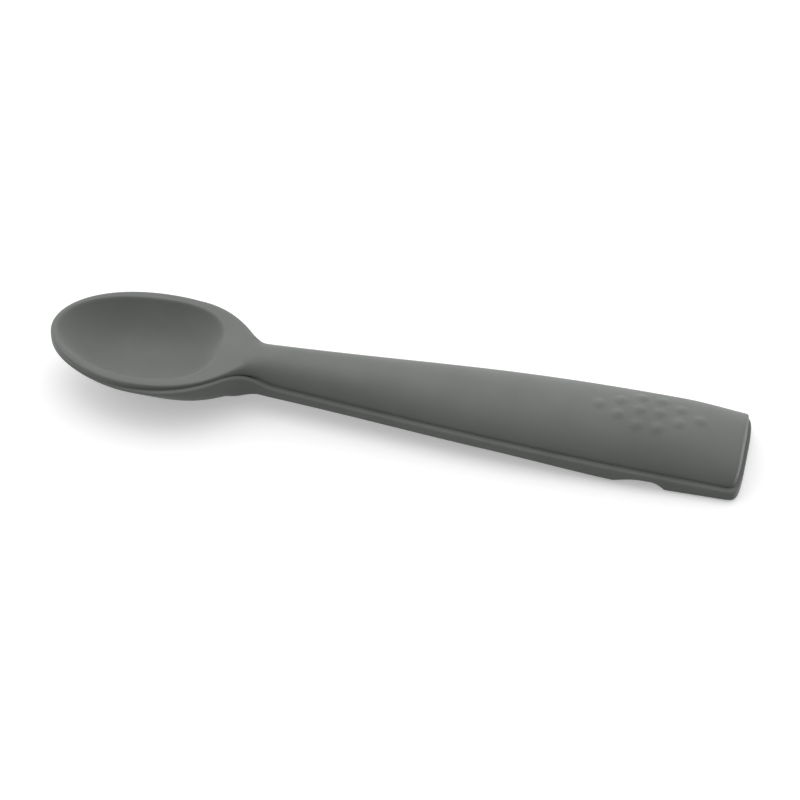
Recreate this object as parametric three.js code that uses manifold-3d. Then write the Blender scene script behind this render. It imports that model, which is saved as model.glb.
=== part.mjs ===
import * as THREE from "three";
import { mergeVertices } from "three/addons/utils/BufferGeometryUtils.js";
import Module from "manifold-3d";

// A silicone feeding spoon: an upper and a lower silicone skin, bonded along a seam that runs all
// the way round, with a stiff core held between them in the handle.
// Lengths are in millimetres. Stations are measured along X from the tip of the bowl, and Z is up.

// Plan of the upper skin. The overall length is that of the lower skin, which stands proud of it
const LENGTH = 140;
const BOWL_STATION = 20;
const BOWL_HALF_WIDTH = 14.05;
const BOWL_SQUARENESS = 1.95;
const SHOULDER_STATION = 37;
const SHOULDER_HANDLE = 17;
const NECK_STATION = 44;
const NECK_HALF_WIDTH = 4.35;
const NECK_HANDLE = 6.5;
const FLARE_HANDLE = 32;
const FLARE_RISE = 2.75;
const HANDLE_STATION = 90;
const TAIL_HANDLE = 38;
const TAIL_REACH = 14;
const TAIL_HALF_WIDTH = 10.1;
const END_SQUARENESS = 26;
const END_CORNER = 3.5;

// Seam between the skins: the lower skin stands proud of the upper one as a ledge, which fades out
// under the front of the bowl
const LEDGE = 1.2;
const LEDGE_START = 15;
const LEDGE_STATION = 24;
const END_LEDGE = 0.65;
const BOND_LINE = 0.15;
const SEAM_AT_TIP = 9.4;
const SEAM_AT_BOWL = 8.55;
const SEAM_AT_SHOULDER = 9.1;
const SEAM_AT_NECK = 6;
const SEAM_AT_HANDLE = 4.95;
const SEAM_AT_TAIL = 3.2;
const SEAM_AT_END = 2.3;

// Top of the upper skin: a rim and a level shoulder that turn into a domed handle
const RIM_AT_TIP = 10.7;
const RIM_AT_BOWL = 9.67;
const SHOULDER_HEIGHT = 9.85;
const NECK_HEIGHT = 10.6;
const HANDLE_HEIGHT = 10.4;
const TAIL_HEIGHT = 9.75;
const END_HEIGHT = 7.4;
const RIM_SQUARENESS = 60;
const RIM_DEPTH_POWER = 6;
const DOME_AT_NECK = 2.8;
const DOME_AT_HANDLE = 2.2;
const DOME_AT_END = 2.1;
const NECK_BLEND = 2;

// Underside of the lower skin: a rounded belly, an arched neck and a square-sided handle
const SHOULDER_CLEARANCE = 2.3;
const NECK_CLEARANCE = 3.1;
const HANDLE_CLEARANCE = 2.5;
const REST_FLAT = 0.1;
const BELLY_SQUARENESS = 1.85;
const BELLY_DEPTH_POWER = 1;
const SHOULDER_SQUARENESS = 2.5;
const NECK_SQUARENESS = 9;
const SIDE_SQUARENESS = 12;

// Hollow of the bowl, and the lining that the upper skin puts under it
const RIM_WIDTH = 2.05;
const TIP_RIM_WIDTH = 1.2;
const DISH_BACK = 34.7;
const DISH_FULLNESS = 2.4;
const DISH_TIP_SQUARENESS = 2;
const DISH_BACK_SQUARENESS = 2.5;
const DISH_EDGE = 0.25;
const LINING_STEP = 0.5;
const BELLY_SKIN = 1.55;

// Stiff core in the handle, and the pegs that key the skins together through it
const CORE_LEAD = 1;
const CORE_END_SKIN = 6;
const CORE_SIDE_SKIN = 2;
const CORE_THICKNESS = 2.4;
const CORE_BEVEL = 0.6;
const CORE_CORNER = 2;
const CORE_FIT = 0.3;
const PEG_COUNT = 4;
const PEG_RADIUS = 1.2;
const PEG_FIRST = 58;
const PEG_PITCH = 16;
const PEG_SEAT = 0.6;

// Grip dots on the tail, and the notch under it
const DOT_ROWS = [1, 2, 3, 3, 2, 1];
const DOT_PITCH = 3.95;
const DOT_RADIUS = 1.4;
const DOT_HEIGHT = 0.32;
const DOT_SINK = 0.3;
const DOTS_FROM_END = 19.5;
const NOTCH_FROM_END = 14.4;
const NOTCH_STEEP = 2.9;
const NOTCH_FLAT = 1.9;
const NOTCH_GENTLE = 8;
const NOTCH_TOP = 1.7;

// Facets
const TIP_STEPS = 10;
const SHOULDER_STEPS = 18;
const HANDLE_STEPS = 12;
const TAIL_STEPS = 10;
const SECTION_STEPS = 8;
const DISH_STEPS = 48;
const DISH_RINGS = 8;
const ROUND_STEPS = 14;
const DOT_STEPS = 12;
const DOT_RINGS = 6;

const QUARTER_TURN = Math.PI / 2;
const TAIL_STATION = LENGTH - TAIL_REACH;
const LINING = TIP_RIM_WIDTH - LINING_STEP;
const DISH_FLOOR = BELLY_SKIN + BOND_LINE + LINING;
const CORE_FRONT = NECK_STATION - CORE_LEAD;
const CORE_REAR = LENGTH - CORE_END_SKIN;

const wasm = await Module();
wasm.setup();

// A smooth curve through [station, value] pairs that never swings past them
function profile(...pairs) {
  const rises = pairs.slice(1).map(([station, value], i) => (value - pairs[i][1]) / (station - pairs[i][0]));
  const slopes = pairs.map((pair, i) => {
    const before = rises[Math.max(i - 1, 0)];
    const after = rises[Math.min(i, rises.length - 1)];
    return before * after > 0 ? (2 * before * after) / (before + after) : 0;
  });
  return (station) => {
    const next = pairs.findIndex(([end]) => station < end);
    if (next === 0) return pairs[0][1];
    if (next < 0) return pairs.at(-1)[1];
    const [start, low] = pairs[next - 1];
    const [end, high] = pairs[next];
    const span = end - start;
    const t = (station - start) / span;
    const ease = t * t * (3 - 2 * t);
    const lift = t * (1 - t) * ((1 - t) * slopes[next - 1] - t * slopes[next]) * span;
    return low + (high - low) * ease + lift;
  };
}

const ledgeWidth = profile(
  [0, 0],
  [LEDGE_START, 0],
  [LEDGE_STATION, LEDGE],
  [TAIL_STATION, LEDGE],
  [LENGTH - END_LEDGE, END_LEDGE],
  [LENGTH, END_LEDGE],
);
const seamHeight = profile(
  [0, SEAM_AT_TIP],
  [BOWL_STATION, SEAM_AT_BOWL],
  [SHOULDER_STATION, SEAM_AT_SHOULDER],
  [NECK_STATION + NECK_BLEND, SEAM_AT_NECK],
  [HANDLE_STATION, SEAM_AT_HANDLE],
  [TAIL_STATION, SEAM_AT_TAIL],
  [LENGTH, SEAM_AT_END],
);
const crownHeight = profile(
  [0, RIM_AT_TIP],
  [BOWL_STATION, RIM_AT_BOWL],
  [SHOULDER_STATION, SHOULDER_HEIGHT],
  [NECK_STATION + NECK_BLEND, NECK_HEIGHT],
  [HANDLE_STATION, HANDLE_HEIGHT],
  [TAIL_STATION, TAIL_HEIGHT],
  [LENGTH, END_HEIGHT],
);
const underHeight = profile(
  [0, -REST_FLAT],
  [BOWL_STATION, -REST_FLAT],
  [SHOULDER_STATION, SHOULDER_CLEARANCE],
  [NECK_STATION, NECK_CLEARANCE],
  [HANDLE_STATION, HANDLE_CLEARANCE],
  [TAIL_STATION, -REST_FLAT],
  [LENGTH, -REST_FLAT],
);
const topSquareness = profile(
  [0, RIM_SQUARENESS],
  [SHOULDER_STATION - NECK_BLEND, RIM_SQUARENESS],
  [NECK_STATION - NECK_BLEND / 2, DOME_AT_NECK],
  [HANDLE_STATION, DOME_AT_HANDLE],
  [LENGTH, DOME_AT_END],
);
const topDepthPower = profile(
  [0, RIM_DEPTH_POWER],
  [SHOULDER_STATION - NECK_BLEND, RIM_DEPTH_POWER],
  [NECK_STATION - NECK_BLEND / 2, DOME_AT_NECK],
  [HANDLE_STATION, DOME_AT_HANDLE],
  [LENGTH, DOME_AT_END],
);
const endSquareness = profile([NECK_STATION, RIM_SQUARENESS], [TAIL_STATION, END_SQUARENESS]);
const underWidthPower = profile(
  [0, BELLY_SQUARENESS],
  [BOWL_STATION, BELLY_SQUARENESS],
  [SHOULDER_STATION, SHOULDER_SQUARENESS],
  [NECK_STATION, NECK_SQUARENESS],
  [HANDLE_STATION, SIDE_SQUARENESS],
  [LENGTH, SIDE_SQUARENESS],
);
const underDepthPower = profile(
  [0, BELLY_DEPTH_POWER],
  [BOWL_STATION, BELLY_DEPTH_POWER],
  [SHOULDER_STATION, SHOULDER_SQUARENESS],
  [NECK_STATION, NECK_SQUARENESS],
  [HANDLE_STATION, SIDE_SQUARENESS],
  [LENGTH, SIDE_SQUARENESS],
);

// Point on a quarter superellipse, from its width axis (angle 0) to its height axis
function superellipse(angle, widthPower, heightPower = widthPower) {
  const across = angle < QUARTER_TURN ? Math.cos(angle) ** (2 / widthPower) : 0;
  const along = Math.sin(angle) ** (2 / heightPower);
  return { across, along };
}

// Half of the upper skin's plan outline, from the tip to the tail. Each point keeps the station of
// the centreline that its section is drawn from.
function halfOutline() {
  const points = [];
  for (let i = 0; i < TIP_STEPS; i += 1) {
    const { across, along } = superellipse((QUARTER_TURN * i) / TIP_STEPS, BOWL_SQUARENESS);
    points.push({ x: BOWL_STATION * (1 - across), y: BOWL_HALF_WIDTH * along, spine: BOWL_STATION });
  }
  const neckDip = (FLARE_RISE / FLARE_HANDLE) * NECK_HANDLE;
  const shoulder = new THREE.CubicBezierCurve(
    new THREE.Vector2(BOWL_STATION, BOWL_HALF_WIDTH),
    new THREE.Vector2(BOWL_STATION + SHOULDER_HANDLE, BOWL_HALF_WIDTH),
    new THREE.Vector2(NECK_STATION - NECK_HANDLE, NECK_HALF_WIDTH - neckDip),
    new THREE.Vector2(NECK_STATION, NECK_HALF_WIDTH),
  );
  const flare = new THREE.CubicBezierCurve(
    new THREE.Vector2(NECK_STATION, NECK_HALF_WIDTH),
    new THREE.Vector2(NECK_STATION + FLARE_HANDLE, NECK_HALF_WIDTH + FLARE_RISE),
    new THREE.Vector2(TAIL_STATION - TAIL_HANDLE, TAIL_HALF_WIDTH),
    new THREE.Vector2(TAIL_STATION, TAIL_HALF_WIDTH),
  );
  const shoulderPoints = shoulder.getPoints(SHOULDER_STEPS).slice(0, -1);
  const flarePoints = flare.getPoints(HANDLE_STEPS).slice(0, -1);
  for (const { x, y } of [...shoulderPoints, ...flarePoints]) points.push({ x, y, spine: x });
  const reach = TAIL_REACH - END_LEDGE;
  for (let i = 0; i <= TAIL_STEPS; i += 1) {
    const { across, along } = superellipse((QUARTER_TURN * i) / TAIL_STEPS, END_CORNER, END_SQUARENESS);
    points.push({ x: TAIL_STATION + reach * along, y: TAIL_HALF_WIDTH * across, spine: TAIL_STATION });
  }
  return points;
}

// Lets an outline out from its centreline by an amount that may change along the spoon
function letOut(points, growAt) {
  return points.map(({ x, y, spine }) => {
    const stretch = 1 + growAt(x) / Math.hypot(x - spine, y);
    return { x: spine + (x - spine) * stretch, y: y * stretch, spine };
  });
}

// The whole outline from its half, once round, counterclockwise from above
function wholeOutline(far) {
  const near = far.map(({ x, y, spine }) => ({ x, y: -y, spine }));
  return [...near, ...far.slice(1, -1).reverse()];
}

function halfWidth(half, station) {
  const next = half.findIndex(({ x }) => x > station);
  const a = half[next - 1];
  const b = half[next];
  return a.y + ((b.y - a.y) * (station - a.x)) / (b.x - a.x);
}

// A point inside an outline, a share of the way out from the centreline in each direction
function pointWithin({ x, y, spine }, lengthShare, widthShare, heightAt) {
  const station = spine + (x - spine) * lengthShare;
  return new THREE.Vector3(station, y * widthShare, heightAt(station));
}

function topRing(edge, angle) {
  return edge.map((point) => {
    const section = superellipse(angle, topSquareness(point.x), topDepthPower(point.x));
    const end = superellipse(angle, endSquareness(point.x));
    const height = (x) => THREE.MathUtils.lerp(seamHeight(x), crownHeight(x), section.along);
    return pointWithin(point, end.across, section.across, height);
  });
}

function underRing(edge, angle) {
  return edge.map((point) => {
    const section = superellipse(angle, underWidthPower(point.x), underDepthPower(point.x));
    const lowest = (x) => THREE.MathUtils.lerp(seamHeight(x) - BOND_LINE, underHeight(x), section.along);
    return pointWithin(point, section.across, section.across, (x) => Math.max(lowest(x), 0));
  });
}

// The outline squeezed onto the centreline, which closes a skin's seam face straight across
function seamRing(edge, drop) {
  return edge.map((point) => pointWithin(point, 1, 0, (x) => seamHeight(x) - drop));
}

// Angles through a section from the seam to the centreline
function sectionAngles() {
  return Array.from({ length: SECTION_STEPS + 1 }, (_, i) => (QUARTER_TURN * i) / SECTION_STEPS);
}

// A closed surface over counterclockwise rings of equal length, from the lowest ring up
function loft(rings) {
  const count = rings[0].length;
  const index = [];
  for (let row = 0; row < rings.length - 1; row += 1) {
    for (let i = 0; i < count; i += 1) {
      const a = row * count + i;
      const b = row * count + ((i + 1) % count);
      index.push(a, b, a + count, b, b + count, a + count);
    }
  }
  const geometry = new THREE.BufferGeometry().setFromPoints(rings.flat());
  geometry.setIndex(index);
  return geometry;
}

// A solid from a closed geometry, with its shared corners welded and its collapsed faces left out
function solidOf(geometry) {
  const bare = geometry.clone();
  bare.deleteAttribute("normal");
  bare.deleteAttribute("uv");
  const welded = mergeVertices(bare);
  const triangles = [];
  for (let i = 0; i < welded.index.count; i += 3) {
    const corners = [0, 1, 2].map((k) => welded.index.getX(i + k));
    if (new Set(corners).size === 3) triangles.push(...corners);
  }
  const vertProperties = new Float32Array(welded.attributes.position.array);
  const triVerts = new Uint32Array(triangles);
  return new wasm.Manifold(new wasm.Mesh({ numProp: 3, vertProperties, triVerts }));
}

function upperBlank() {
  const edge = wholeOutline(halfOutline());
  const top = sectionAngles().map((angle) => topRing(edge, angle));
  return solidOf(loft([seamRing(edge, 0), ...top]));
}

function lowerBlank() {
  const edge = wholeOutline(letOut(halfOutline(), ledgeWidth));
  const under = sectionAngles().reverse().map((angle) => underRing(edge, angle));
  return solidOf(loft([...under, seamRing(edge, BOND_LINE)]));
}

// Radius of the hollow's oval mouth in one direction from the middle of the bowl
function dishReach(angle) {
  const back = Math.cos(angle) > 0;
  const length = back ? DISH_BACK - BOWL_STATION : BOWL_STATION - TIP_RIM_WIDTH;
  const width = BOWL_HALF_WIDTH - RIM_WIDTH;
  const power = back ? DISH_BACK_SQUARENESS : DISH_TIP_SQUARENESS;
  const along = Math.abs(Math.cos(angle) / length) ** power;
  const across = Math.abs(Math.sin(angle) / width) ** power;
  return (along + across) ** (-1 / power);
}

// A ring of the hollow: a share of its mouth, grown outwards, at a height above or below the rim
function dishRing(share, grow, heightAt) {
  const points = [];
  for (let i = 0; i < DISH_STEPS; i += 1) {
    const angle = (2 * Math.PI * i) / DISH_STEPS;
    const reach = dishReach(angle);
    const rim = crownHeight(BOWL_STATION + reach * Math.cos(angle));
    const radius = (reach + grow) * share;
    const x = BOWL_STATION + radius * Math.cos(angle);
    points.push(new THREE.Vector3(x, radius * Math.sin(angle), heightAt(rim)));
  }
  return points;
}

// The hollow as a body, grown all round by a wall and carried up to a mouth at a height above the rim
function dishBody(wall, mouthGrow, mouthRise) {
  const rings = [];
  for (let i = 0; i <= DISH_RINGS; i += 1) {
    const share = Math.sin((QUARTER_TURN * i) / DISH_RINGS);
    const height = (rim) => DISH_FLOOR + (rim - DISH_EDGE - DISH_FLOOR) * share ** DISH_FULLNESS - wall;
    rings.push(dishRing(share, wall - DISH_EDGE, height));
  }
  rings.push(dishRing(1, mouthGrow, (rim) => rim + mouthRise));
  rings.push(dishRing(0, 0, () => RIM_AT_TIP + mouthRise));
  return solidOf(loft(rings));
}

// Plan of the core: the handle's outline drawn in, with round corners
function coreShape(grow) {
  const half = letOut(halfOutline(), () => grow - CORE_SIDE_SKIN);
  const front = CORE_FRONT - grow;
  const rear = CORE_REAR + grow;
  const frontHalf = halfWidth(half, front);
  const rearHalf = halfWidth(half, rear);
  const side = half.filter(({ x }) => x > front + CORE_CORNER && x < rear - CORE_CORNER);
  const shape = new THREE.Shape();
  shape.moveTo(front, CORE_CORNER - frontHalf);
  shape.lineTo(front, frontHalf - CORE_CORNER);
  shape.quadraticCurveTo(front, frontHalf, side[0].x, side[0].y);
  side.forEach(({ x, y }) => shape.lineTo(x, y));
  shape.quadraticCurveTo(rear, rearHalf, rear, rearHalf - CORE_CORNER);
  shape.lineTo(rear, CORE_CORNER - rearHalf);
  side.reverse();
  shape.quadraticCurveTo(rear, -rearHalf, side[0].x, -side[0].y);
  side.forEach(({ x, y }) => shape.lineTo(x, -y));
  shape.quadraticCurveTo(front, -frontHalf, front, CORE_CORNER - frontHalf);
  return shape;
}

// Lays a body drawn on the core's own middle plane along the middle of the handle
function layInHandle(geometry) {
  const middle = (station) => (crownHeight(station) + underHeight(station)) / 2;
  const tilt = Math.atan2(middle(CORE_FRONT) - middle(CORE_REAR), CORE_REAR - CORE_FRONT);
  geometry.translate(-CORE_FRONT, 0, 0);
  geometry.rotateY(tilt);
  geometry.translate(CORE_FRONT, 0, middle(CORE_FRONT));
  return geometry;
}

// The core's flat, bevel-edged body, grown all round by a clearance
function coreBody(grow) {
  const thickness = CORE_THICKNESS + 2 * grow;
  const plate = new THREE.ExtrudeGeometry(coreShape(grow), {
    depth: thickness - 2 * CORE_BEVEL,
    bevelThickness: CORE_BEVEL,
    bevelSize: CORE_BEVEL,
    bevelOffset: -CORE_BEVEL,
    bevelSegments: 1,
    curveSegments: ROUND_STEPS / 2,
  });
  plate.translate(0, 0, CORE_BEVEL - thickness / 2);
  return solidOf(layInHandle(plate));
}

// Pegs through the core, from the roof of its room into seats below the room's floor
function pegs(fit) {
  const room = CORE_THICKNESS + 2 * CORE_FIT;
  return Array.from({ length: PEG_COUNT }, (_, i) => {
    const radius = PEG_RADIUS + fit;
    const pin = new THREE.CylinderGeometry(radius, radius, room + 2 * PEG_SEAT + fit, ROUND_STEPS);
    pin.rotateX(QUARTER_TURN);
    pin.translate(PEG_FIRST + PEG_PITCH * i, 0, -fit / 2);
    return solidOf(layInHandle(pin));
  });
}

// Height of the domed handle over any point of its plan
function domeHeight(half, x, y) {
  const share = Math.abs(y) / halfWidth(half, x);
  const rise = (1 - share ** topSquareness(x)) ** (1 / topDepthPower(x));
  return THREE.MathUtils.lerp(seamHeight(x), crownHeight(x), rise);
}

// One low round dot, set square to the dome
function gripDot(half, x, y) {
  const height = domeHeight(half, x, y);
  const alongSlope = domeHeight(half, x + DOT_RADIUS, y) - domeHeight(half, x - DOT_RADIUS, y);
  const acrossSlope = domeHeight(half, x, y + DOT_RADIUS) - domeHeight(half, x, y - DOT_RADIUS);
  const normal = new THREE.Vector3(-alongSlope, -acrossSlope, 2 * DOT_RADIUS).normalize();
  const dot = new THREE.SphereGeometry(1, DOT_STEPS, DOT_RINGS);
  dot.rotateX(QUARTER_TURN);
  dot.scale(DOT_RADIUS, DOT_RADIUS, DOT_HEIGHT + DOT_SINK);
  dot.translate(0, 0, -DOT_SINK);
  dot.applyQuaternion(new THREE.Quaternion().setFromUnitVectors(new THREE.Vector3(0, 0, 1), normal));
  dot.translate(x, y, height);
  return solidOf(dot);
}

function gripDots() {
  const half = halfOutline();
  const middleRow = (DOT_ROWS.length - 1) / 2;
  return DOT_ROWS.flatMap((count, row) => {
    const x = LENGTH - DOTS_FROM_END + (row - middleRow) * DOT_PITCH;
    return Array.from({ length: count }, (_, i) => gripDot(half, x, (i - (count - 1) / 2) * DOT_PITCH));
  });
}

// A scoop across the underside: a gentle ramp on the bowl side and a steep one on the tail side
function notch() {
  const tailEdge = LENGTH - NOTCH_FROM_END;
  const steepTop = tailEdge - NOTCH_STEEP;
  const gentleTop = steepTop - NOTCH_FLAT;
  const bowlEdge = gentleTop - NOTCH_GENTLE;
  const side = new THREE.Shape();
  side.moveTo(tailEdge, -NOTCH_TOP);
  side.lineTo(tailEdge, -REST_FLAT);
  side.quadraticCurveTo(tailEdge - NOTCH_STEEP / 2, NOTCH_TOP, steepTop, NOTCH_TOP);
  side.lineTo(gentleTop, NOTCH_TOP);
  const rampFoot = underHeight(bowlEdge) - REST_FLAT;
  const rampMiddle = (gentleTop + bowlEdge) / 2;
  side.bezierCurveTo(rampMiddle, NOTCH_TOP, rampMiddle, rampFoot, bowlEdge, rampFoot);
  side.lineTo(bowlEdge, -NOTCH_TOP);
  const width = 2 * (TAIL_HALF_WIDTH + 2 * LEDGE);
  const scoop = new THREE.ExtrudeGeometry(side, {
    depth: width,
    bevelEnabled: false,
    curveSegments: ROUND_STEPS / 2,
  });
  scoop.rotateX(QUARTER_TURN);
  scoop.translate(0, width / 2, 0);
  return solidOf(scoop);
}

function core() {
  return pegs(CORE_FIT).reduce((body, hole) => body.subtract(hole), coreBody(0));
}

function upperSkin() {
  const lining = dishBody(LINING, LINING - DISH_EDGE, -LINING / 2);
  const hollow = dishBody(0, DISH_EDGE, DISH_EDGE);
  const shell = upperBlank().add(lining).subtract(hollow).subtract(coreBody(CORE_FIT));
  return [...pegs(0), ...gripDots()].reduce((body, piece) => body.add(piece), shell);
}

function lowerSkin() {
  const wall = LINING + BOND_LINE;
  const pocket = dishBody(wall, wall - DISH_EDGE, DISH_EDGE);
  const shell = lowerBlank().subtract(pocket).subtract(coreBody(CORE_FIT)).subtract(notch());
  return pegs(BOND_LINE).reduce((body, seat) => body.subtract(seat), shell);
}

function meshOf(name, solid, material) {
  const { vertProperties, triVerts } = solid.getMesh();
  const geometry = new THREE.BufferGeometry();
  geometry.setAttribute("position", new THREE.BufferAttribute(vertProperties, 3));
  geometry.setIndex(new THREE.BufferAttribute(triVerts, 1));
  geometry.computeVertexNormals();
  const mesh = new THREE.Mesh(geometry, new THREE.MeshStandardMaterial(material));
  mesh.name = name;
  return mesh;
}

const silicone = { color: 0x6f726f, roughness: 0.6, metalness: 0 };
const nylon = { color: 0xd8d6cf, roughness: 0.45, metalness: 0 };

const spoon = new THREE.Group();
spoon.name = "silicone_spoon";
spoon.position.x = -LENGTH / 2;
spoon.add(
  meshOf("upper_skin", upperSkin(), silicone),
  meshOf("lower_skin", lowerSkin(), silicone),
  meshOf("core", core(), nylon),
);

export default spoon;
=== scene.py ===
import math

import bmesh
import bpy
import numpy as np
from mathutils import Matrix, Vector


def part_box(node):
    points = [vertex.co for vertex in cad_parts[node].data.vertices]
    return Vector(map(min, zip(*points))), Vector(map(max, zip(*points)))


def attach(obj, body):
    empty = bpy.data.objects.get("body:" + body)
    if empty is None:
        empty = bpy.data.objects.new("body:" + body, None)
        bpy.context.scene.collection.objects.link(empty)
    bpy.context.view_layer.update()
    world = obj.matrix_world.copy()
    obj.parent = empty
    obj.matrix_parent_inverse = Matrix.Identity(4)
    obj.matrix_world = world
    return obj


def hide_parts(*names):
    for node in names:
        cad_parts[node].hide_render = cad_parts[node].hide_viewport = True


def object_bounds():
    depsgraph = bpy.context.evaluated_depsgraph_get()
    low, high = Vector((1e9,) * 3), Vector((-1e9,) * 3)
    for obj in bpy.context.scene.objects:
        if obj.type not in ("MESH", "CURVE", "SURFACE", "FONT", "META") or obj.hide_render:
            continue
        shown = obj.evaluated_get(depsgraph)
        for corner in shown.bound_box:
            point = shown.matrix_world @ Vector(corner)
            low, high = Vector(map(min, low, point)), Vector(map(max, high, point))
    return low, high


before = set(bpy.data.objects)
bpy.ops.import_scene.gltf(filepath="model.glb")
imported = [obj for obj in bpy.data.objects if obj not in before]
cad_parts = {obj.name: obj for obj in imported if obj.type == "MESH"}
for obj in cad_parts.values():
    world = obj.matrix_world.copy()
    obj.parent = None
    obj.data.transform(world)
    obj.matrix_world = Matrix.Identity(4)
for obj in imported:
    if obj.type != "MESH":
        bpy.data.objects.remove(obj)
cad_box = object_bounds()

# A silicone feeding spoon: two matte silicone skins that meet at a seam all the way round, and a stiff
# core inside the handle. Lengths are in metres. Stations are measured along X from the tip of the bowl.
# Squareness, fullness and powers are the exponents of rounded sections and outlines.
MM = 0.001
TIP = cad_box[0][0]

# Plan of the upper skin. A name that ends in HANDLE is the reach of a curve's control point from its end
LENGTH = 140 * MM
BOWL_STATION = 20 * MM
BOWL_HALF_WIDTH = 14.05 * MM
BOWL_SQUARENESS = 1.95
SHOULDER_STATION = 37 * MM
SHOULDER_HANDLE = 17 * MM
NECK_STATION = 44 * MM
NECK_HALF_WIDTH = 4.35 * MM
NECK_HANDLE = 6.5 * MM
FLARE_HANDLE = 32 * MM
FLARE_RISE = 2.75 * MM
HANDLE_STATION = 90 * MM
TAIL_HANDLE = 38 * MM
TAIL_REACH = 14 * MM
TAIL_STATION = LENGTH - TAIL_REACH
TAIL_HALF_WIDTH = 10.1 * MM

# Square end of the tail
END_SQUARENESS = 26
END_CORNER = 3.5
END_ROUNDNESS = 7
END_CRISPNESS = 70
WALL_CRISPNESS = 30

# Seam: the lower skin stands proud as a ledge that fades out under the front of the bowl
LEDGE = 1.2 * MM
LEDGE_START = 6 * MM
LEDGE_STATION = 30 * MM
END_LEDGE = 0.65 * MM
LEDGE_ROUND = 0.5 * MM
SEAM_GAP = 0.02 * MM
SEAM_AT_TIP = 9.4 * MM
SEAM_AT_BOWL = 8.55 * MM
SEAM_AT_SHOULDER = 9.1 * MM
SEAM_AT_NECK = 6 * MM
SEAM_AT_HANDLE = 4.95 * MM
SEAM_AT_TAIL = 3.2 * MM
SEAM_AT_END = 2.3 * MM

# Top of the upper skin
RIM_AT_TIP = 10.7 * MM
RIM_AT_BOWL = 9.67 * MM
SHOULDER_HEIGHT = 9.85 * MM
NECK_HEIGHT = 10.6 * MM
HANDLE_HEIGHT = 10.4 * MM
TAIL_HEIGHT = 9.75 * MM
END_HEIGHT = 7.4 * MM
RIM_SQUARENESS = 60
RIM_DEPTH_POWER = 6
DOME_AT_NECK = 2.8
DOME_AT_HANDLE = 2.2
DOME_AT_END = 2.1
NECK_BLEND = 3 * MM

# Underside of the lower skin
SHOULDER_CLEARANCE = 1.8 * MM
NECK_CLEARANCE = 3.4 * MM
HANDLE_CLEARANCE = 2.5 * MM
BELLY_SQUARENESS = 1.85
BELLY_DEPTH_POWER = 1
SHOULDER_SQUARENESS = 2.5
NECK_SQUARENESS = 9
SIDE_SQUARENESS = 12

# Hollow of the bowl and the lining under it
RIM_WIDTH = 2.05 * MM
TIP_RIM_WIDTH = 1.2 * MM
DISH_BACK = 34.7 * MM
DISH_FULLNESS = 3.4
DISH_TIP_SQUARENESS = 2
DISH_BACK_SQUARENESS = 2.5
DISH_FLOOR = 3.6 * MM
LINING = 0.7 * MM
LIP_SOFTNESS = 0.4 * MM
LIP_BAND = 0.4 * MM

# Room for the core, which both skins leave open between them
CORE_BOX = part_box("core")
CORE_SIDE_SKIN = 2 * MM
CORE_THICKNESS = 2.4 * MM
CORE_FIT = 0.4 * MM

# Grip dots on the tail and the notch under it
DOT_ROWS = (1, 2, 3, 3, 2, 1)
DOT_PITCH = 3.95 * MM
DOT_RADIUS = 1.75 * MM
DOT_HEIGHT = 0.29 * MM
DOTS_FROM_END = 19.5 * MM
NOTCH_FROM_END = 14.4 * MM
NOTCH_STEEP = 2.9 * MM
NOTCH_FLAT = 1.9 * MM
NOTCH_GENTLE = 8 * MM
NOTCH_TOP = 1.7 * MM

# Fineness of the meshes
QUARTER_TURN = math.pi / 2
PLAN_STEPS = 400
BOWL_RAYS = 130
DISH_RINGS = 20
DISH_RING_SHARE = 0.86
LIP_RINGS = 16
RIM_RINGS = 14
RIM_CROWDING = 3
LINING_SHARES = (1, 0.94, 0.88, 0.8, 0.7, 0.55, 0.4, 0.25, 0.12, 0)
SECTION_FLAT_SHARE = 0.86
SECTION_FLAT_STEPS = 34
SECTION_EDGE_STEPS = 12
UNDER_FLAT_SHARE = 0.72
UNDER_FLAT_STEPS = 12
UNDER_EDGE_STEPS = 14
LEDGE_STEPS = 4
COARSE_STEP = 1 * MM
FINE_STEP = 0.25 * MM
FINE_FROM_END = 32 * MM
END_STEPS = 22
END_FLAT_SHARE = 0.8
WELD = 0.001 * MM
SHARP_ANGLE = math.radians(50)
ROUNDING = 1e-9

# Silicone, with noise scales in features per metre
SILICONE_DARK = (0.127, 0.1365, 0.127, 1)
SILICONE_LIGHT = (0.147, 0.1565, 0.147, 1)
SILICONE_CLOUDS = 110
SILICONE_CLOUD_RANGE = (0.3, 0.7)
SILICONE_PATCHES = 900
SILICONE_ROUGHNESS = (0.5, 0.62)
SILICONE_GRAIN = 5200
SILICONE_GRAIN_DETAIL = 2
SILICONE_GRAIN_STRENGTH = 0.25
SILICONE_GRAIN_DEPTH = 0.03 * MM
SILICONE_SPECULAR = 0.45
SILICONE_SHEEN = 0.2
SILICONE_SHEEN_ROUGHNESS = 0.5

# Nylon of the core
NYLON_DARK = (0.62, 0.6, 0.55, 1)
NYLON_LIGHT = (0.7, 0.68, 0.63, 1)
NYLON_FLOW = 160
NYLON_FLOW_RANGE = (0.35, 0.65)
NYLON_PATCHES = 1400
NYLON_ROUGHNESS = (0.38, 0.5)
NYLON_GRAIN = 3000
NYLON_GRAIN_STRENGTH = 0.2
NYLON_GRAIN_DEPTH = 0.02 * MM
NOISE_DETAIL = 4

# Studio: a floor that is seen brighter than it lights, a sky that is brightest behind, and one lamp
FLOOR_SIZE = 4
FLOOR_DROP = 0.02 * MM
FLOOR_BOUNCE = 0.35
SHADOW_SHARE = 0.81
FLOOR_GLOW = 0.35
SKY_LEVEL = 0.9
SKY_SLOPE = 0.85
SKY_AZIMUTH = math.radians(110)
KEY_ELEVATION = math.radians(62)
KEY_SOFTNESS = math.radians(60)
WHITE = (1, 1, 1, 1)

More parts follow.
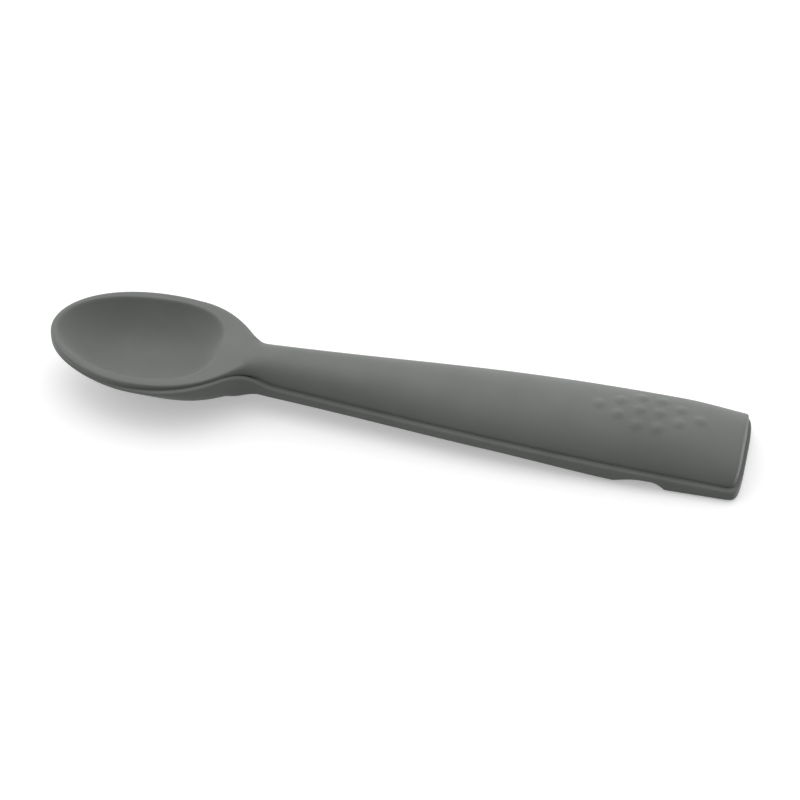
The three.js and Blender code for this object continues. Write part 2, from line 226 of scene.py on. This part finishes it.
# Camera
VIEW_AZIMUTH = math.radians(-77.3)
VIEW_ELEVATION = math.radians(42)
VIEW_DISTANCE = 553.4 * MM
VIEW_TARGET = Vector((1.36 * MM, -1.0 * MM, 4 * MM))
VIEW_LENS = 126.45


def profile(*pairs):
    """A smooth curve through (station, value) pairs that never swings past them."""
    stations, values = np.array(pairs).T
    rises = np.diff(values) / np.diff(stations)
    before = np.concatenate([rises[:1], rises])
    after = np.concatenate([rises, rises[-1:]])
    steady = before * after > 0
    slopes = np.where(steady, 2 * before * after / np.where(steady, before + after, 1), 0)

    def value(station):
        station = np.clip(station, stations[0], stations[-1])
        i = np.clip(np.searchsorted(stations, station, side="right") - 1, 0, len(rises) - 1)
        span = stations[i + 1] - stations[i]
        t = (station - stations[i]) / span
        lift = t * (1 - t) * ((1 - t) * slopes[i] - t * slopes[i + 1]) * span
        return values[i] + (values[i + 1] - values[i]) * t * t * (3 - 2 * t) + lift

    return value


def top_power(rim):
    """An exponent of the top's sections: the rim's up to the shoulder, and the dome's from the neck."""
    return profile(
        (0, rim),
        (SHOULDER_STATION - NECK_BLEND, rim),
        (NECK_STATION - NECK_BLEND / 2, DOME_AT_NECK),
        (HANDLE_STATION, DOME_AT_HANDLE),
        (LENGTH, DOME_AT_END),
    )


def under_power(belly):
    """An exponent of the underside's sections: the belly's under the bowl, and squarer behind it."""
    return profile(
        (0, belly),
        (BOWL_STATION, belly),
        (SHOULDER_STATION, SHOULDER_SQUARENESS),
        (NECK_STATION, NECK_SQUARENESS),
        (HANDLE_STATION, SIDE_SQUARENESS),
        (LENGTH, SIDE_SQUARENESS),
    )


ledge_width = profile(
    (0, 0),
    (LEDGE_START, 0),
    (LEDGE_STATION, LEDGE),
    (LENGTH, LEDGE),
)
seam_height = profile(
    (0, SEAM_AT_TIP),
    (BOWL_STATION, SEAM_AT_BOWL),
    (SHOULDER_STATION, SEAM_AT_SHOULDER),
    (NECK_STATION + NECK_BLEND, SEAM_AT_NECK),
    (HANDLE_STATION, SEAM_AT_HANDLE),
    (TAIL_STATION, SEAM_AT_TAIL),
    (LENGTH, SEAM_AT_END),
)
crown_height = profile(
    (0, RIM_AT_TIP),
    (BOWL_STATION, RIM_AT_BOWL),
    (SHOULDER_STATION, SHOULDER_HEIGHT),
    (NECK_STATION + NECK_BLEND, NECK_HEIGHT),
    (HANDLE_STATION, HANDLE_HEIGHT),
    (TAIL_STATION, TAIL_HEIGHT),
    (LENGTH, END_HEIGHT),
)
clearance = profile(
    (0, 0),
    (BOWL_STATION, 0),
    (SHOULDER_STATION, SHOULDER_CLEARANCE),
    (NECK_STATION, NECK_CLEARANCE),
    (HANDLE_STATION, HANDLE_CLEARANCE),
    (TAIL_STATION, 0),
    (LENGTH, 0),
)
top_width_power = top_power(RIM_SQUARENESS)
top_depth_power = top_power(RIM_DEPTH_POWER)
under_width_power = under_power(BELLY_SQUARENESS)
under_depth_power = under_power(BELLY_DEPTH_POWER)


def fall_off(share, width_power, depth_power):
    """Height share of a superellipse over its width share, from 1 in the middle to 0 at the edge."""
    inside = np.clip(share, 0, 1)
    return np.where(inside > 1 - ROUNDING, 0, (1 - inside ** width_power) ** (1 / depth_power))


def smooth_min(a, b, softness):
    """The lower of two heights, with the corner between them rounded off."""
    near = np.maximum(softness - np.abs(a - b), 0) / softness
    return np.minimum(a, b) - near * near * softness / 4


def bezier(*corners):
    """Close points along a cubic curve."""
    t = np.linspace(0, 1, PLAN_STEPS)[:, None]
    a, b, c, d = np.array(corners)
    return (1 - t) ** 3 * a + 3 * t * (1 - t) ** 2 * b + 3 * t * t * (1 - t) * c + t ** 3 * d


def tip_curve():
    turn = np.linspace(0, QUARTER_TURN, PLAN_STEPS)
    across = np.where(turn < QUARTER_TURN, np.cos(turn), 0) ** (2 / BOWL_SQUARENESS)
    along = np.sin(turn) ** (2 / BOWL_SQUARENESS)
    return np.column_stack([BOWL_STATION * (1 - across), BOWL_HALF_WIDTH * along])


def let_out(points, amount):
    """Plan points moved out from the centreline, where the bowl's front counts from its middle."""
    spine = np.column_stack([np.maximum(points[:, 0], BOWL_STATION), np.zeros(len(points))])
    out = points - spine
    stretch = 1 + amount / np.hypot(out[:, 0], out[:, 1])
    return spine + out * stretch[:, None]


def half_plan(grow):
    """Far half of the upper skin's plan from the tip to the tail, let out by an amount at each station."""
    neck_dip = FLARE_RISE / FLARE_HANDLE * NECK_HANDLE
    neck = (NECK_STATION, NECK_HALF_WIDTH)
    shoulder = bezier(
        (BOWL_STATION, BOWL_HALF_WIDTH),
        (BOWL_STATION + SHOULDER_HANDLE, BOWL_HALF_WIDTH),
        (NECK_STATION - NECK_HANDLE, NECK_HALF_WIDTH - neck_dip),
        neck,
    )
    flare = bezier(
        neck,
        (NECK_STATION + FLARE_HANDLE, NECK_HALF_WIDTH + FLARE_RISE),
        (TAIL_STATION - TAIL_HANDLE, TAIL_HALF_WIDTH),
        (TAIL_STATION, TAIL_HALF_WIDTH),
    )
    points = np.concatenate([tip_curve(), shoulder[1:], flare[1:]])
    return let_out(points, grow(points[:, 0]))


def width_at(plan, station):
    return np.interp(station, plan[:, 0], plan[:, 1])


def bowl_edge(plan):
    """Evenly spaced points of a half plan from the tip of the bowl to the neck."""
    bowl = plan[plan[:, 0] <= NECK_STATION]
    lengths = np.hypot(*np.diff(bowl, axis=0).T)
    travelled = np.concatenate([[0], np.cumsum(lengths)])
    steps = np.linspace(0, travelled[-1], BOWL_RAYS)
    return np.column_stack([np.interp(steps, travelled, bowl[:, i]) for i in (0, 1)])


def ray_ends(edge, shares):
    """Ends of rays from the middle of the bowl, once round: along its edge, and across the neck."""
    neck = np.column_stack([np.full(len(shares), NECK_STATION), edge[-1, 1] * shares])
    half = np.concatenate([edge, neck[1:]])
    return np.concatenate([half, half[-2:0:-1] * (1, -1)])


class Rays:
    """Rays from the middle of the bowl to a ring of ends."""

    def __init__(self, ends):
        out = ends - (BOWL_STATION, 0)
        self.reach = np.hypot(out[:, 0], out[:, 1])
        self.cosine, self.sine = (out / self.reach[:, None]).T
        self.mouth = self.dish_reach()
        self.rim = crown_height(BOWL_STATION + self.mouth * self.cosine)

    def dish_reach(self):
        """Distance along each ray to the oval mouth of the bowl's hollow."""
        back = self.cosine > 0
        length = np.where(back, DISH_BACK - BOWL_STATION, BOWL_STATION - TIP_RIM_WIDTH)
        power = np.where(back, DISH_BACK_SQUARENESS, DISH_TIP_SQUARENESS)
        along = np.abs(self.cosine / length) ** power
        across = np.abs(self.sine / (BOWL_HALF_WIDTH - RIM_WIDTH)) ** power
        return (along + across) ** (-1 / power)

    def plan_points(self, radii):
        return BOWL_STATION + radii * self.cosine, radii * self.sine

    def edge_share(self, plan, radii):
        """How far out each point lies: along its ray before the bowl's middle, and across behind it."""
        x, y = self.plan_points(radii)
        across = np.abs(y) / np.maximum(width_at(plan, x), WELD)
        return np.where(x < BOWL_STATION, radii / self.reach, across)

    def dish(self, radii, wall=0):
        """Height of the hollow, or of a skin that lies a wall's thickness under it."""
        share = radii / (self.mouth + wall)
        return DISH_FLOOR - wall + (self.rim - DISH_FLOOR) * share ** DISH_FULLNESS


def top_height(x, share):
    seam = seam_height(x)
    return seam + (crown_height(x) - seam) * fall_off(share, top_width_power(x), top_depth_power(x))


def upper_bowl(rays, plan):
    """Top of the upper skin round the bowl: the hollow, its soft lip, the rim and the shoulder."""
    dish = np.linspace(0, DISH_RING_SHARE, DISH_RINGS, endpoint=False)[:, None] * rays.mouth
    lip_start = DISH_RING_SHARE * rays.mouth
    lip_end = rays.mouth + LIP_BAND
    lip = lip_start + np.linspace(0, 1, LIP_RINGS, endpoint=False)[:, None] * (lip_end - lip_start)
    crowding = 1 - (1 - np.linspace(0, 1, RIM_RINGS)[:, None]) ** RIM_CROWDING
    rim = lip_end + crowding * (rays.reach - lip_end)
    radii = np.concatenate([dish, lip, rim])
    x, y = rays.plan_points(radii)
    rim_height = top_height(x, rays.edge_share(plan, radii))
    return np.stack([x, y, smooth_min(rays.dish(radii), rim_height, LIP_SOFTNESS)], axis=-1)


def seat_rings(rays, wall, drop, room_height):
    """Hidden face of a skin round the bowl: level with the seam, and dipped under the hollow."""
    pocket = np.array(LINING_SHARES)[:, None] * (rays.mouth + wall)
    radii = np.concatenate([rays.reach[None, :], pocket])
    x, y = rays.plan_points(radii)
    level = room_height(x, y, seam_height(x) - drop)
    return np.stack([x, y, np.minimum(level, rays.dish(radii, wall))], axis=-1)


def core_middle(x):
    """Height of the core's middle plane, which slopes down towards the tail."""
    low, high = CORE_BOX
    ends = (low[0] - TIP, high[0] - TIP)
    return np.interp(x, ends, (high[2] - CORE_THICKNESS / 2, low[2] + CORE_THICKNESS / 2))


def in_room(x, y):
    low, high = CORE_BOX
    along = (x > low[0] - TIP - CORE_FIT) & (x < high[0] - TIP + CORE_FIT)
    return along & (np.abs(y) < width_at(UPPER_PLAN, x) - CORE_SIDE_SKIN + CORE_FIT)


def room_roof(x, y, level):
    roof = core_middle(x) + CORE_THICKNESS / 2 + CORE_FIT
    return np.where(in_room(x, y), np.maximum(roof, level), level)


def room_floor(x, y, level):
    base = core_middle(x) - CORE_THICKNESS / 2 - CORE_FIT
    return np.where(in_room(x, y), np.minimum(base, level), level)


def dot_places():
    middle_row = (len(DOT_ROWS) - 1) / 2
    for row, count in enumerate(DOT_ROWS):
        for i in range(count):
            x = LENGTH - DOTS_FROM_END + (row - middle_row) * DOT_PITCH
            yield x, (i - (count - 1) / 2) * DOT_PITCH


def dots_height(x, y):
    """Low round swellings in a field on the tail."""
    height = np.zeros(np.broadcast(x, y).shape)
    for dot_x, dot_y in dot_places():
        share = ((x - dot_x) ** 2 + (y - dot_y) ** 2) / DOT_RADIUS ** 2
        height += DOT_HEIGHT * np.maximum(1 - share, 0) ** 2
    return height


def notch_height(x):
    """A scoop across the underside: a gentle ramp on the bowl side and a steep one on the tail side."""
    tail_side = LENGTH - NOTCH_FROM_END
    bowl_side = tail_side - NOTCH_STEEP - NOTCH_FLAT - NOTCH_GENTLE
    steep = np.clip((tail_side - x) / NOTCH_STEEP, 0, 1)
    gentle = np.clip((x - bowl_side) / NOTCH_GENTLE, 0, 1)
    return NOTCH_TOP * np.minimum(steep * (2 - steep), gentle * gentle * (3 - 2 * gentle))


def section_shares(flat_share, flat_steps, edge_steps, power):
    """Width shares across half a section, from the edge to the middle, crowded at the edge."""
    flat_turn = math.acos(flat_share ** (power / 2))
    turns = np.linspace(0, flat_turn, edge_steps, endpoint=False)
    return np.concatenate([np.cos(turns) ** (2 / power), np.linspace(flat_share, 0, flat_steps)])


def handle_stations():
    """Stations of the handle's sections, close together at the dots and the square end."""
    fine_start = LENGTH - FINE_FROM_END
    coarse = np.arange(NECK_STATION, fine_start, COARSE_STEP)
    fine = np.arange(fine_start, TAIL_STATION, FINE_STEP)
    level = np.arange(0, END_FLAT_SHARE, FINE_STEP / TAIL_REACH)
    first_turn = math.asin(END_FLAT_SHARE ** (END_SQUARENESS / 2))
    end = np.sin(np.linspace(first_turn, QUARTER_TURN, END_STEPS)) ** (2 / END_SQUARENESS)
    tail = np.concatenate([level, end])
    return np.concatenate([coarse, fine, TAIL_STATION + tail * TAIL_REACH])


def end_share(stations):
    """How far each station lies towards the end of the tail."""
    return np.clip((stations - TAIL_STATION) / TAIL_REACH, 0, 1)[:, None]


def mirrored(shares):
    return np.concatenate([shares, -shares[-2::-1]])


def upper_handle(plan, shares):
    """Closed sections of the upper skin: the dome with its dots, and the hidden face under it."""
    stations = handle_stations()
    end = end_share(stations)
    narrowing = fall_off(end, END_SQUARENESS, END_CORNER)
    half_width = width_at(plan, stations)[:, None] * narrowing
    x = stations[:, None] - END_LEDGE * end
    top_share = mirrored(shares)
    seam = seam_height(x)
    rise = (crown_height(x) - seam) * fall_off(end, END_CRISPNESS, END_CORNER)
    top_y = half_width * top_share
    dome = fall_off(np.abs(top_share) * narrowing, top_width_power(x), top_depth_power(x))
    wall = fall_off(np.abs(top_share), WALL_CRISPNESS, WALL_CRISPNESS)
    top_z = seam + (rise * dome + dots_height(x, top_y)) * wall ** end
    under_y = -half_width * top_share[1:-1]
    under_z = room_roof(x, under_y, np.broadcast_to(seam, under_y.shape))
    y = np.concatenate([top_y, under_y], axis=1)
    z = np.concatenate([top_z, under_z], axis=1)
    return np.stack([np.broadcast_to(x, y.shape), y, z], axis=-1)


def under_height(x, share, sink=1):
    """Underside of the lower skin: a rounded belly, an arched neck and a square-sided handle."""
    edge = seam_height(x) - SEAM_GAP - LEDGE_ROUND
    lowest = np.maximum(clearance(x), notch_height(x))
    return edge + (lowest - edge) * sink * fall_off(share, under_width_power(x), under_depth_power(x))


def lower_belly(rays, plan, shares):
    radii = shares[::-1][:, None] * rays.reach
    x, y = rays.plan_points(radii)
    return np.stack([x, y, under_height(x, rays.edge_share(plan, radii))], axis=-1)


def ledge_turns():
    return np.linspace(0, QUARTER_TURN, LEDGE_STEPS + 1)


def lower_ledge(edge):
    """Rounded outer edge of the ledge, from one side of the neck round the tip to the other."""
    rings = []
    for turn in ledge_turns():
        drawn_in = let_out(edge, -LEDGE_ROUND * (1 - math.cos(turn)))
        height = seam_height(drawn_in[:, 0]) - SEAM_GAP - LEDGE_ROUND * (1 - math.sin(turn))
        rings.append(np.column_stack([drawn_in, height]))
    return np.array(rings)


def lower_handle(plan, shares):
    """Closed sections of the lower skin: side walls, underside, ledge and the hidden face on top."""
    stations = handle_stations()
    end = end_share(stations)
    x = stations[:, None]
    half_width = width_at(plan, stations)[:, None] * fall_off(end, END_SQUARENESS, END_CORNER)
    sink = fall_off(end, END_SQUARENESS, END_ROUNDNESS)
    rounding = np.minimum(LEDGE_ROUND, half_width / 2)
    under_share = mirrored(shares)
    under_y = half_width * under_share
    under_z = under_height(x, np.abs(under_share), sink)
    turns = ledge_turns()[1:]
    edge_top = seam_height(x) - SEAM_GAP
    edge_y = half_width - rounding * (1 - np.cos(turns))
    edge_z = edge_top - LEDGE_ROUND * (1 - np.sin(turns))
    seat_share = under_share[1:-1]
    seat_y = -(half_width - rounding) * seat_share
    seat_z = room_floor(x, seat_y, np.broadcast_to(edge_top, seat_y.shape))
    y = np.concatenate([under_y, -edge_y, seat_y, edge_y[:, ::-1]], axis=1)
    z = np.concatenate([under_z, edge_z, seat_z, edge_z[:, ::-1]], axis=1)
    return np.stack([np.broadcast_to(x, y.shape), y, z], axis=-1)


def sheet_faces(rows, columns, closed, start):
    """Four-sided faces between neighbouring rows of points."""
    count = columns if closed else columns - 1
    for row in range(rows - 1):
        for i in range(count):
            a = start + row * columns + i
            b = start + row * columns + (i + 1) % columns
            yield a, b, b + columns, a + columns


def mesh_piece(name, sheets):
    """One closed object from sheets of points that share their borders."""
    points = []
    faces = []
    for sheet, closed in sheets:
        rows, columns = sheet.shape[:2]
        faces.extend(sheet_faces(rows, columns, closed, len(points)))
        points.extend(sheet.reshape(-1, 3) + (TIP, 0, 0))
    mesh = bpy.data.meshes.new(name)
    mesh.from_pydata(points, [], faces)
    shape = bmesh.new()
    shape.from_mesh(mesh)
    bmesh.ops.remove_doubles(shape, verts=shape.verts, dist=WELD)
    bmesh.ops.dissolve_degenerate(shape, edges=shape.edges, dist=WELD)
    bmesh.ops.recalc_face_normals(shape, faces=shape.faces)
    shape.to_mesh(mesh)
    shape.free()
    mesh.shade_smooth()
    mesh.set_sharp_from_angle(angle=SHARP_ANGLE)
    piece = bpy.data.objects.new(name, mesh)
    bpy.context.scene.collection.objects.link(piece)
    return piece


UPPER_PLAN = half_plan(np.zeros_like)
LOWER_PLAN = half_plan(ledge_width)


def upper_skin():
    shares = section_shares(SECTION_FLAT_SHARE, SECTION_FLAT_STEPS, SECTION_EDGE_STEPS, DOME_AT_HANDLE)
    rays = Rays(ray_ends(bowl_edge(UPPER_PLAN), shares))
    return mesh_piece("upper_skin_soft", [
        (upper_bowl(rays, UPPER_PLAN), True),
        (seat_rings(rays, LINING, 0, room_roof), True),
        (upper_handle(UPPER_PLAN, shares), True),
    ])


def lower_skin():
    shares = section_shares(UNDER_FLAT_SHARE, UNDER_FLAT_STEPS, UNDER_EDGE_STEPS, SIDE_SQUARENESS)
    edge = bowl_edge(LOWER_PLAN)
    rays = Rays(ray_ends(edge, shares))
    seat_rays = Rays(ray_ends(let_out(edge, -LEDGE_ROUND), shares))
    round_tip = np.concatenate([edge[:0:-1], edge * (1, -1)])
    return mesh_piece("lower_skin_soft", [
        (lower_belly(rays, LOWER_PLAN, shares), True),
        (lower_ledge(round_tip), False),
        (seat_rings(seat_rays, LINING + SEAM_GAP, SEAM_GAP, room_floor), True),
        (lower_handle(LOWER_PLAN, shares), True),
    ])


def new_material(name):
    material = bpy.data.materials.new(name)
    material.use_nodes = True
    nodes = material.node_tree.nodes
    return material, nodes, material.node_tree.links, nodes["Principled BSDF"]


def noise(nodes, links, scale, detail=NOISE_DETAIL):
    """Noise in the object's own space, with its scale in features per metre."""
    place = nodes.new("ShaderNodeTexCoord")
    texture = nodes.new("ShaderNodeTexNoise")
    texture.inputs["Scale"].default_value = scale
    texture.inputs["Detail"].default_value = detail
    links.new(place.outputs["Object"], texture.inputs["Vector"])
    return texture.outputs["Fac"]


def ramp_between(nodes, links, factor, span, dark, light):
    """Turns a factor that crosses a span into a colour from dark to light."""
    ramp = nodes.new("ShaderNodeValToRGB")
    for element, position, colour in zip(ramp.color_ramp.elements, span, (dark, light)):
        element.position = position
        element.color = colour
    links.new(factor, ramp.inputs["Fac"])
    return ramp.outputs["Color"]


def range_between(nodes, links, factor, span):
    """Turns a factor from 0 to 1 into a value across a span."""
    spread = nodes.new("ShaderNodeMapRange")
    spread.inputs["To Min"].default_value = span[0]
    spread.inputs["To Max"].default_value = span[1]
    links.new(factor, spread.inputs["Value"])
    return spread.outputs["Result"]


def bump(nodes, links, height, strength, distance):
    node = nodes.new("ShaderNodeBump")
    node.inputs["Strength"].default_value = strength
    node.inputs["Distance"].default_value = distance
    links.new(height, node.inputs["Height"])
    return node.outputs["Normal"]


def silicone_material():
    """Matte moulded silicone: a soft grey with faint clouding and a fine eroded mould texture."""
    material, nodes, links, shader = new_material("silicone")
    clouds = noise(nodes, links, SILICONE_CLOUDS)
    colour = ramp_between(nodes, links, clouds, SILICONE_CLOUD_RANGE, SILICONE_DARK, SILICONE_LIGHT)
    patches = noise(nodes, links, SILICONE_PATCHES)
    roughness = range_between(nodes, links, patches, SILICONE_ROUGHNESS)
    grain = noise(nodes, links, SILICONE_GRAIN, SILICONE_GRAIN_DETAIL)
    normal = bump(nodes, links, grain, SILICONE_GRAIN_STRENGTH, SILICONE_GRAIN_DEPTH)
    links.new(colour, shader.inputs["Base Color"])
    links.new(roughness, shader.inputs["Roughness"])
    links.new(normal, shader.inputs["Normal"])
    shader.inputs["Specular IOR Level"].default_value = SILICONE_SPECULAR
    shader.inputs["Sheen Weight"].default_value = SILICONE_SHEEN
    shader.inputs["Sheen Roughness"].default_value = SILICONE_SHEEN_ROUGHNESS
    return material


def nylon_material():
    """Uncoloured moulded nylon with faint flow marks."""
    material, nodes, links, shader = new_material("nylon")
    flow = noise(nodes, links, NYLON_FLOW)
    colour = ramp_between(nodes, links, flow, NYLON_FLOW_RANGE, NYLON_DARK, NYLON_LIGHT)
    patches = noise(nodes, links, NYLON_PATCHES)
    roughness = range_between(nodes, links, patches, NYLON_ROUGHNESS)
    grain = noise(nodes, links, NYLON_GRAIN)
    normal = bump(nodes, links, grain, NYLON_GRAIN_STRENGTH, NYLON_GRAIN_DEPTH)
    links.new(colour, shader.inputs["Base Color"])
    links.new(roughness, shader.inputs["Roughness"])
    links.new(normal, shader.inputs["Normal"])
    return material


def feed(links, socket, value):
    """Gives a socket a number, or another node's output."""
    if isinstance(value, bpy.types.NodeSocket):
        links.new(value, socket)
    else:
        socket.default_value = value


def direct_view(nodes, links):
    """1 for what the camera sees by itself, in a reflection or through something, and else 0."""
    path = nodes.new("ShaderNodeLightPath")
    total = path.outputs["Is Camera Ray"]
    for name in ("Is Glossy Ray", "Is Transmission Ray"):
        either = nodes.new("ShaderNodeMath")
        either.operation = "MAXIMUM"
        links.new(total, either.inputs[0])
        links.new(path.outputs[name], either.inputs[1])
        total = either.outputs[0]
    return total


def blend_grey(nodes, links, factor, low, high):
    """A grey that goes from low to high with a factor, by a Mix node's inputs for plain numbers."""
    mix = nodes.new("ShaderNodeMix")
    mix.data_type = "FLOAT"
    factor_socket, _, low_socket, high_socket = mix.inputs[:4]
    links.new(factor, factor_socket)
    feed(links, low_socket, low)
    feed(links, high_socket, high)
    return mix.outputs[0]


def heading(azimuth, elevation):
    """Direction that points round from +X by an azimuth and up by an elevation."""
    level = math.cos(elevation)
    return Vector((level * math.cos(azimuth), level * math.sin(azimuth), math.sin(elevation)))


def floor():
    """A white floor that keeps the spoon's shadow."""
    mesh = bpy.data.meshes.new("floor")
    reach = FLOOR_SIZE / 2
    corners = [(-reach, -reach), (reach, -reach), (reach, reach), (-reach, reach)]
    mesh.from_pydata([(x, y, -FLOOR_DROP) for x, y in corners], [], [(0, 1, 2, 3)])
    piece = bpy.data.objects.new("floor", mesh)
    bpy.context.scene.collection.objects.link(piece)
    material, nodes, links, shader = new_material("floor")
    nodes.remove(shader)
    seen = direct_view(nodes, links)
    diffuse = nodes.new("ShaderNodeBsdfDiffuse")
    links.new(blend_grey(nodes, links, seen, FLOOR_BOUNCE, SHADOW_SHARE), diffuse.inputs["Color"])
    glow = nodes.new("ShaderNodeEmission")
    links.new(blend_grey(nodes, links, seen, 0, FLOOR_GLOW), glow.inputs["Strength"])
    both = nodes.new("ShaderNodeAddShader")
    links.new(diffuse.outputs["BSDF"], both.inputs[0])
    links.new(glow.outputs["Emission"], both.inputs[1])
    links.new(both.outputs["Shader"], nodes["Material Output"].inputs["Surface"])
    mesh.materials.append(material)


def sky():
    """A white tent that is brighter behind the spoon than in front of it."""
    world = bpy.data.worlds.new("sky")
    world.use_nodes = True
    nodes = world.node_tree.nodes
    links = world.node_tree.links
    background = nodes["Background"]
    background.inputs["Color"].default_value = WHITE
    direction = nodes.new("ShaderNodeTexCoord")
    behind = nodes.new("ShaderNodeVectorMath")
    behind.operation = "DOT_PRODUCT"
    behind.inputs[1].default_value = heading(SKY_AZIMUTH, 0)
    links.new(direction.outputs["Generated"], behind.inputs[0])
    slope = nodes.new("ShaderNodeMath")
    slope.operation = "MULTIPLY_ADD"
    slope.inputs[1].default_value = SKY_LEVEL * SKY_SLOPE
    slope.inputs[2].default_value = SKY_LEVEL
    links.new(behind.outputs["Value"], slope.inputs[0])
    strength = blend_grey(nodes, links, direct_view(nodes, links), slope.outputs["Value"], 1)
    links.new(strength, background.inputs["Strength"])
    bpy.context.scene.world = world


def key_light():
    """One broad lamp above and behind, which with the sky lights a level surface at 1."""
    lamp = bpy.data.lights.new("key", "SUN")
    lamp.energy = (1 - SKY_LEVEL) * math.pi / math.sin(KEY_ELEVATION)
    lamp.angle = KEY_SOFTNESS
    piece = bpy.data.objects.new("key", lamp)
    piece.rotation_euler = heading(SKY_AZIMUTH, KEY_ELEVATION).to_track_quat("Z", "Y").to_euler()
    bpy.context.scene.collection.objects.link(piece)


def camera():
    data = bpy.data.cameras.new("camera")
    data.lens = VIEW_LENS
    piece = bpy.data.objects.new("camera", data)
    back = heading(VIEW_AZIMUTH, VIEW_ELEVATION)
    piece.location = VIEW_TARGET + back * VIEW_DISTANCE
    piece.rotation_euler = back.to_track_quat("Z", "Y").to_euler()
    bpy.context.scene.collection.objects.link(piece)
    bpy.context.scene.camera = piece


bpy.context.scene.view_settings.view_transform = "Standard"
camera()
sky()
key_light()
floor()

silicone = silicone_material()
for piece, node in ((upper_skin(), "upper_skin"), (lower_skin(), "lower_skin")):
    piece.data.materials.append(silicone)
    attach(piece, "root")
    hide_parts(node)

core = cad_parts["core"]
core.data.materials.clear()
core.data.materials.append(nylon_material())
